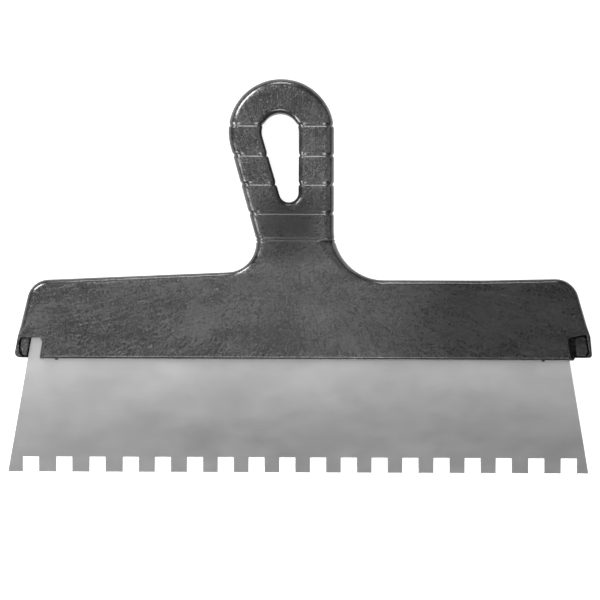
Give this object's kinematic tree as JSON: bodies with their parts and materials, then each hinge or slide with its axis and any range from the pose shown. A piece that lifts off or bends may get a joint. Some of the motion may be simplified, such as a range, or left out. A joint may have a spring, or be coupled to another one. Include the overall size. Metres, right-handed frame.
{
  "type": "notched trowel",
  "caption": "Wide notched spreader with a square-toothed stainless blade in a dark T-shaped plastic handle with a teardrop hole in its grip.",
  "frame": {"origin": "middle of the part's box, on the plane that the flat back of the handle rests on", "axes": "+X along the blade to the right, +Y from the tooth tips towards the grip, +Z out of the front face"},
  "size_m": [0.3016, 0.2034, 0.019],
  "materials": {
    "handle_plastic": "satin, fine grained",
    "blade_steel": "fine brushed, matt",
    "screw_steel": "bright zinc plated"
  },
  "bodies": {
    "root": {"blade": "blade_steel", "front_shell": "handle_plastic", "rear_shell": "handle_plastic", "blade_screw_1": "screw_steel", "blade_screw_2": "screw_steel", "blade_screw_3": "screw_steel", "blade_screw_4": "screw_steel", "blade_screw_5": "screw_steel", "neck_screw": "screw_steel", "head_screw": "screw_steel"}
  },
  "joints": []
}
